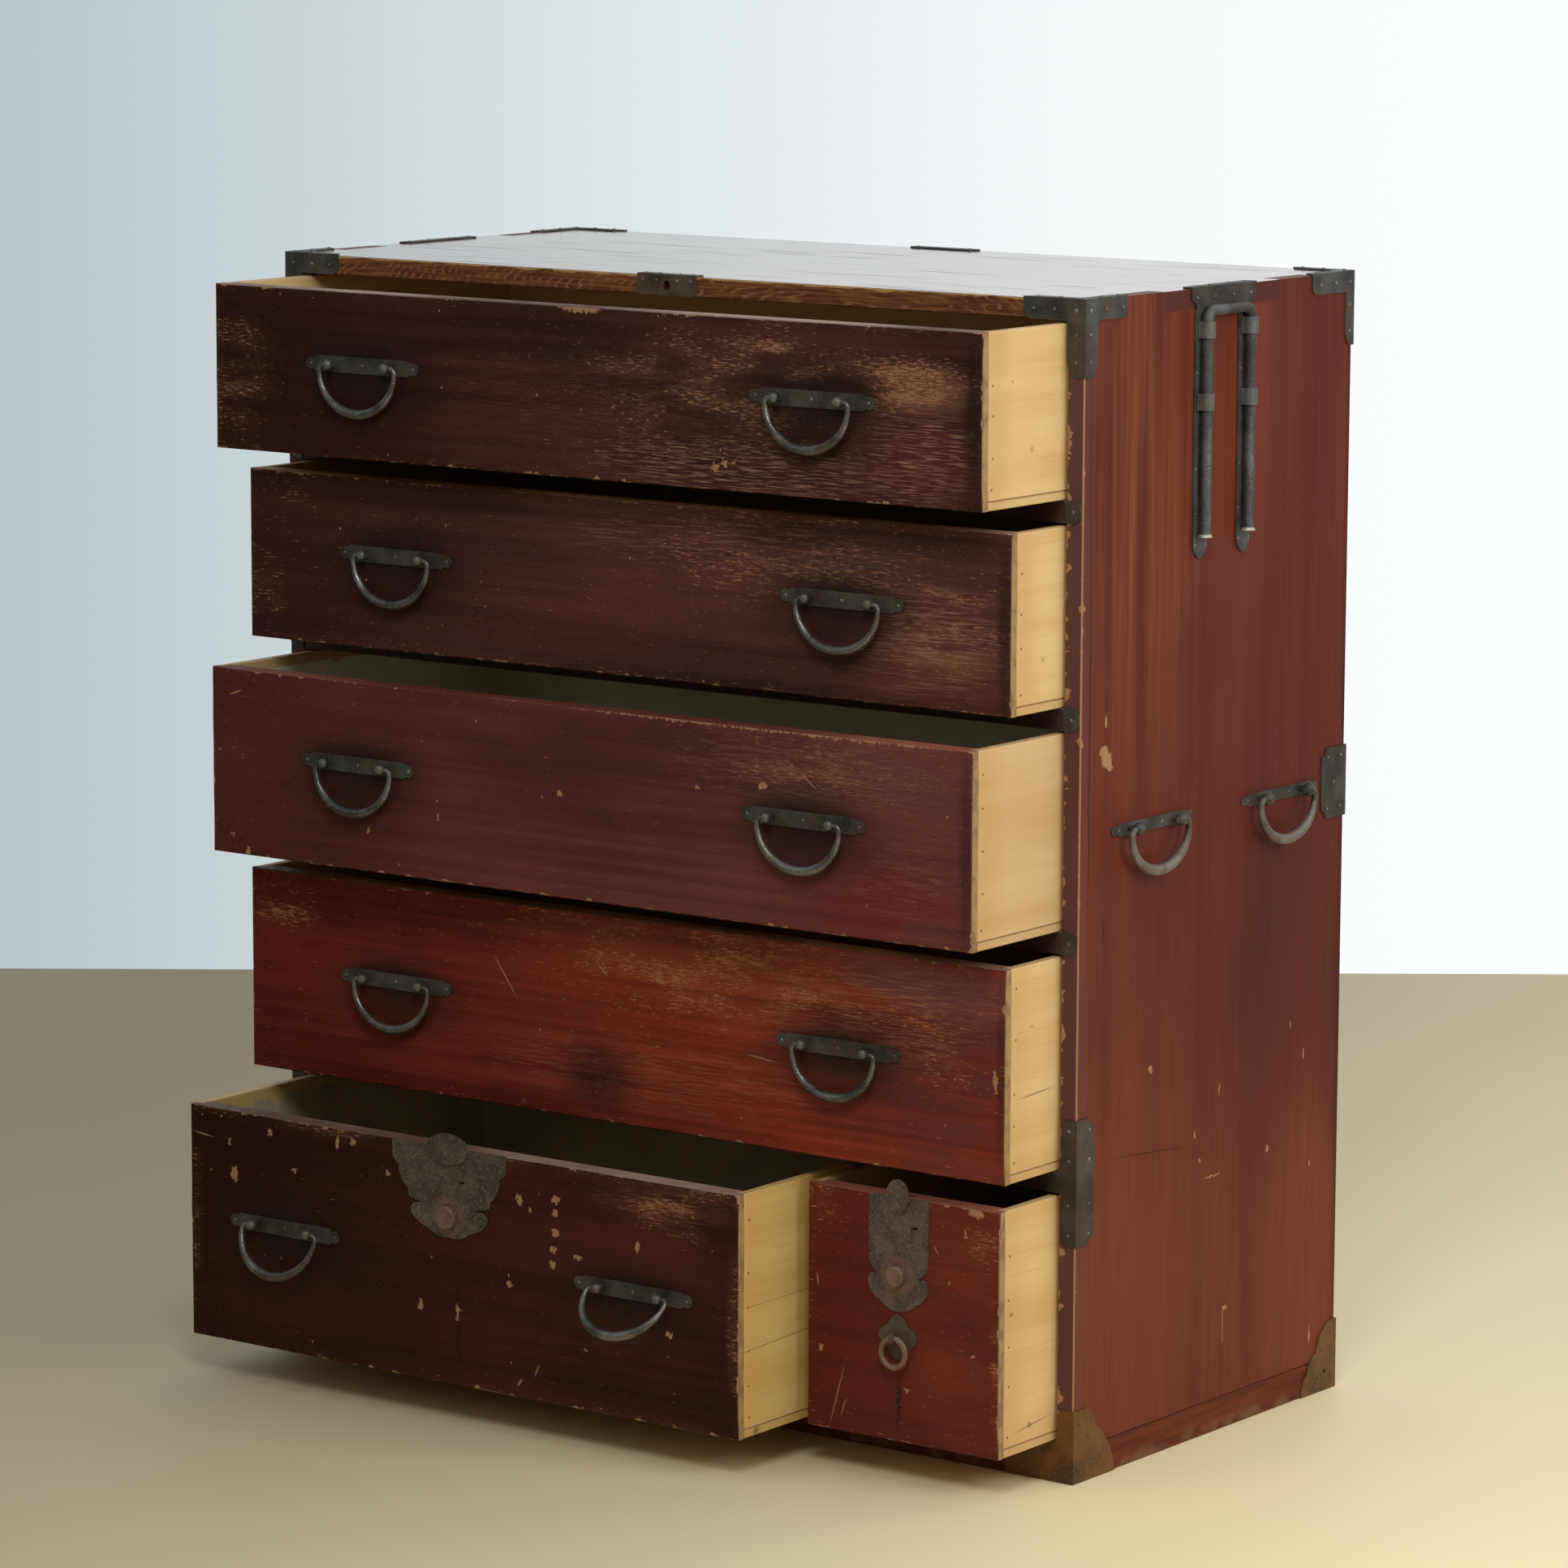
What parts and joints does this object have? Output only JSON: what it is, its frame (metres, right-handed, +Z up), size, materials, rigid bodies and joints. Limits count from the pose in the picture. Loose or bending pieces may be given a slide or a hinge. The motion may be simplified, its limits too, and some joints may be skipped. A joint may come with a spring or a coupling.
{
  "type": "tansu chest",
  "caption": "Tall lacquered chest with stacked drawers, iron corner fittings, bail pulls, drawer locks and sliding pole handles on its sides.",
  "frame": {"origin": "on the floor, under the middle of the carcass", "axes": "+X to the right seen from the front, -Y out of the front, +Z up"},
  "size_m": [0.942, 0.6554, 1.0514],
  "materials": {
    "front_lacquer": "worn oxblood lacquer",
    "side_lacquer": "worn red-brown lacquer",
    "top_lacquer": "polished red-brown lacquer",
    "carcass_wood": "aged bare wood",
    "drawer_wood": "planed pale wood",
    "iron": "dark forged iron",
    "brown_iron": "rust-brown forged iron"
  },
  "bodies": {
    "carcass": {"side_panel_left": "side_lacquer", "side_panel_right": "side_lacquer", "top_board": "top_lacquer", "bottom_board": "carcass_wood", "back_boards": "carcass_wood", "base_frame": "side_lacquer", "divider_1": "carcass_wood", "divider_2": "carcass_wood", "divider_3": "carcass_wood", "divider_4": "carcass_wood", "bottom_partition": "carcass_wood", "top_corner_irons": "iron", "base_corner_irons": "brown_iron", "edge_irons": "iron", "divider_end_tabs": "iron", "top_lock_plate": "iron", "side_pull_mounts": "iron", "pole_handle_mounts": "iron"},
    "drawer_1": {"drawer_1_front": "front_lacquer", "drawer_1_box": "drawer_wood", "drawer_1_pull_mounts": "iron"},
    "drawer_1_bail_left": {"drawer_1_bail_left": "iron"},
    "drawer_1_bail_right": {"drawer_1_bail_right": "iron"},
    "drawer_2": {"drawer_2_front": "front_lacquer", "drawer_2_box": "drawer_wood", "drawer_2_pull_mounts": "iron"},
    "drawer_2_bail_left": {"drawer_2_bail_left": "iron"},
    "drawer_2_bail_right": {"drawer_2_bail_right": "iron"},
    "drawer_3": {"drawer_3_front": "front_lacquer", "drawer_3_box": "drawer_wood", "drawer_3_pull_mounts": "iron"},
    "drawer_3_bail_left": {"drawer_3_bail_left": "iron"},
    "drawer_3_bail_right": {"drawer_3_bail_right": "iron"},
    "drawer_4": {"drawer_4_front": "front_lacquer", "drawer_4_box": "drawer_wood", "drawer_4_pull_mounts": "iron"},
    "drawer_4_bail_left": {"drawer_4_bail_left": "iron"},
    "drawer_4_bail_right": {"drawer_4_bail_right": "iron"},
    "drawer_5": {"drawer_5_front": "front_lacquer", "drawer_5_box": "drawer_wood", "drawer_5_pull_mounts": "iron", "drawer_5_lock_plate": "brown_iron"},
    "drawer_5_bail_left": {"drawer_5_bail_left": "iron"},
    "drawer_5_bail_right": {"drawer_5_bail_right": "iron"},
    "drawer_5_lock_bolt": {"drawer_5_lock_bolt": "iron"},
    "drawer_5_lock_button": {"drawer_5_lock_button": "brown_iron"},
    "drawer_6": {"drawer_6_front": "front_lacquer", "drawer_6_box": "drawer_wood", "drawer_6_lock_plate": "brown_iron", "drawer_6_ring_mount": "brown_iron"},
    "drawer_6_lock_bolt": {"drawer_6_lock_bolt": "iron"},
    "drawer_6_lock_button": {"drawer_6_lock_button": "brown_iron"},
    "drawer_6_ring": {"drawer_6_ring": "brown_iron"},
    "side_bail_right_front": {"side_bail_right_front": "iron"},
    "side_bail_right_rear": {"side_bail_right_rear": "iron"},
    "pole_handle_right": {"pole_handle_right": "iron"},
    "side_bail_left_front": {"side_bail_left_front": "iron"},
    "side_bail_left_rear": {"side_bail_left_rear": "iron"},
    "pole_handle_left": {"pole_handle_left": "iron"},
    "top_lock_bolt": {"top_lock_bolt": "iron"}
  },
  "joints": [
    {"name": "drawer_1_slide", "type": "slide", "parent": "carcass", "child": "drawer_1", "axis": [0, -1, 0], "range_m": [-0.125, 0.195]},
    {"name": "drawer_1_bail_left_swing", "type": "hinge", "parent": "drawer_1", "child": "drawer_1_bail_left", "pos_m": [-0.255, -0.3535, 0.9625], "axis": [-1, 0, 0], "range_deg": [-5, 175]},
    {"name": "drawer_1_bail_right_swing", "type": "hinge", "parent": "drawer_1", "child": "drawer_1_bail_right", "pos_m": [0.255, -0.3535, 0.9625], "axis": [-1, 0, 0], "range_deg": [-5, 175]},
    {"name": "drawer_2_slide", "type": "slide", "parent": "carcass", "child": "drawer_2", "axis": [0, -1, 0], "range_m": [-0.079, 0.241]},
    {"name": "drawer_2_bail_left_swing", "type": "hinge", "parent": "drawer_2", "child": "drawer_2_bail_left", "pos_m": [-0.255, -0.3075, 0.7825], "axis": [-1, 0, 0], "range_deg": [-5, 175]},
    {"name": "drawer_2_bail_right_swing", "type": "hinge", "parent": "drawer_2", "child": "drawer_2_bail_right", "pos_m": [0.255, -0.3075, 0.7825], "axis": [-1, 0, 0], "range_deg": [-5, 175]},
    {"name": "drawer_3_slide", "type": "slide", "parent": "carcass", "child": "drawer_3", "axis": [0, -1, 0], "range_m": [-0.135, 0.185]},
    {"name": "drawer_3_bail_left_swing", "type": "hinge", "parent": "drawer_3", "child": "drawer_3_bail_left", "pos_m": [-0.255, -0.3635, 0.5945], "axis": [-1, 0, 0], "range_deg": [-5, 175]},
    {"name": "drawer_3_bail_right_swing", "type": "hinge", "parent": "drawer_3", "child": "drawer_3_bail_right", "pos_m": [0.255, -0.3635, 0.5945], "axis": [-1, 0, 0], "range_deg": [-5, 175]},
    {"name": "drawer_4_slide", "type": "slide", "parent": "carcass", "child": "drawer_4", "axis": [0, -1, 0], "range_m": [-0.082, 0.238]},
    {"name": "drawer_4_bail_left_swing", "type": "hinge", "parent": "drawer_4", "child": "drawer_4_bail_left", "pos_m": [-0.255, -0.3105, 0.3835], "axis": [-1, 0, 0], "range_deg": [-5, 175]},
    {"name": "drawer_4_bail_right_swing", "type": "hinge", "parent": "drawer_4", "child": "drawer_4_bail_right", "pos_m": [0.255, -0.3105, 0.3835], "axis": [-1, 0, 0], "range_deg": [-5, 175]},
    {"name": "drawer_5_slide", "type": "slide", "parent": "carcass", "child": "drawer_5", "axis": [0, -1, 0], "range_m": [-0.172, 0.148]},
    {"name": "drawer_5_bail_left_swing", "type": "hinge", "parent": "drawer_5", "child": "drawer_5_bail_left", "pos_m": [-0.31675, -0.4005, 0.1555], "axis": [-1, 0, 0], "range_deg": [-21, 159]},
    {"name": "drawer_5_bail_right_swing", "type": "hinge", "parent": "drawer_5", "child": "drawer_5_bail_right", "pos_m": [0.09525, -0.4005, 0.1555], "axis": [-1, 0, 0], "range_deg": [-47, 133]},
    {"name": "drawer_5_lock_bolt_throw", "type": "slide", "parent": "drawer_5", "child": "drawer_5_lock_bolt", "axis": [0, 0, 1], "range_m": [0, 0.006]},
    {"name": "drawer_5_lock_button_push", "type": "slide", "parent": "drawer_5", "child": "drawer_5_lock_button", "axis": [0, 1, 0], "range_m": [0, 0.003], "stiffness_N_per_m": 400, "springref_m": -0.002},
    {"name": "drawer_6_slide", "type": "slide", "parent": "carcass", "child": "drawer_6", "axis": [0, -1, 0], "range_m": [-0.088, 0.232]},
    {"name": "drawer_6_lock_bolt_throw", "type": "slide", "parent": "drawer_6", "child": "drawer_6_lock_bolt", "axis": [0, 0, 1], "range_m": [0, 0.006]},
    {"name": "drawer_6_lock_button_push", "type": "slide", "parent": "drawer_6", "child": "drawer_6_lock_button", "axis": [0, 1, 0], "range_m": [0, 0.003], "stiffness_N_per_m": 400, "springref_m": -0.002},
    {"name": "drawer_6_ring_swing", "type": "hinge", "parent": "drawer_6", "child": "drawer_6_ring", "pos_m": [0.32675, -0.3155, 0.1325], "axis": [-1, 0, 0], "range_deg": [-5, 175]},
    {"name": "side_bail_right_front_swing", "type": "hinge", "parent": "carcass", "child": "side_bail_right_front", "pos_m": [0.465, -0.106, 0.58], "axis": [0, -1, 0], "range_deg": [-5, 175]},
    {"name": "side_bail_right_rear_swing", "type": "hinge", "parent": "carcass", "child": "side_bail_right_rear", "pos_m": [0.465, 0.106, 0.58], "axis": [0, -1, 0], "range_deg": [-5, 175]},
    {"name": "pole_handle_right_lift", "type": "slide", "parent": "carcass", "child": "pole_handle_right", "axis": [0, 0, 1], "range_m": [0, 0.1096]},
    {"name": "side_bail_left_front_swing", "type": "hinge", "parent": "carcass", "child": "side_bail_left_front", "pos_m": [-0.465, -0.106, 0.58], "axis": [0, 1, 0], "range_deg": [-5, 175]},
    {"name": "side_bail_left_rear_swing", "type": "hinge", "parent": "carcass", "child": "side_bail_left_rear", "pos_m": [-0.465, 0.106, 0.58], "axis": [0, 1, 0], "range_deg": [-5, 175]},
    {"name": "pole_handle_left_lift", "type": "slide", "parent": "carcass", "child": "pole_handle_left", "axis": [0, 0, 1], "range_m": [0, 0.1096]},
    {"name": "top_lock_bolt_throw", "type": "slide", "parent": "carcass", "child": "top_lock_bolt", "axis": [0, 0, -1], "range_m": [0, 0.006]}
  ]
}
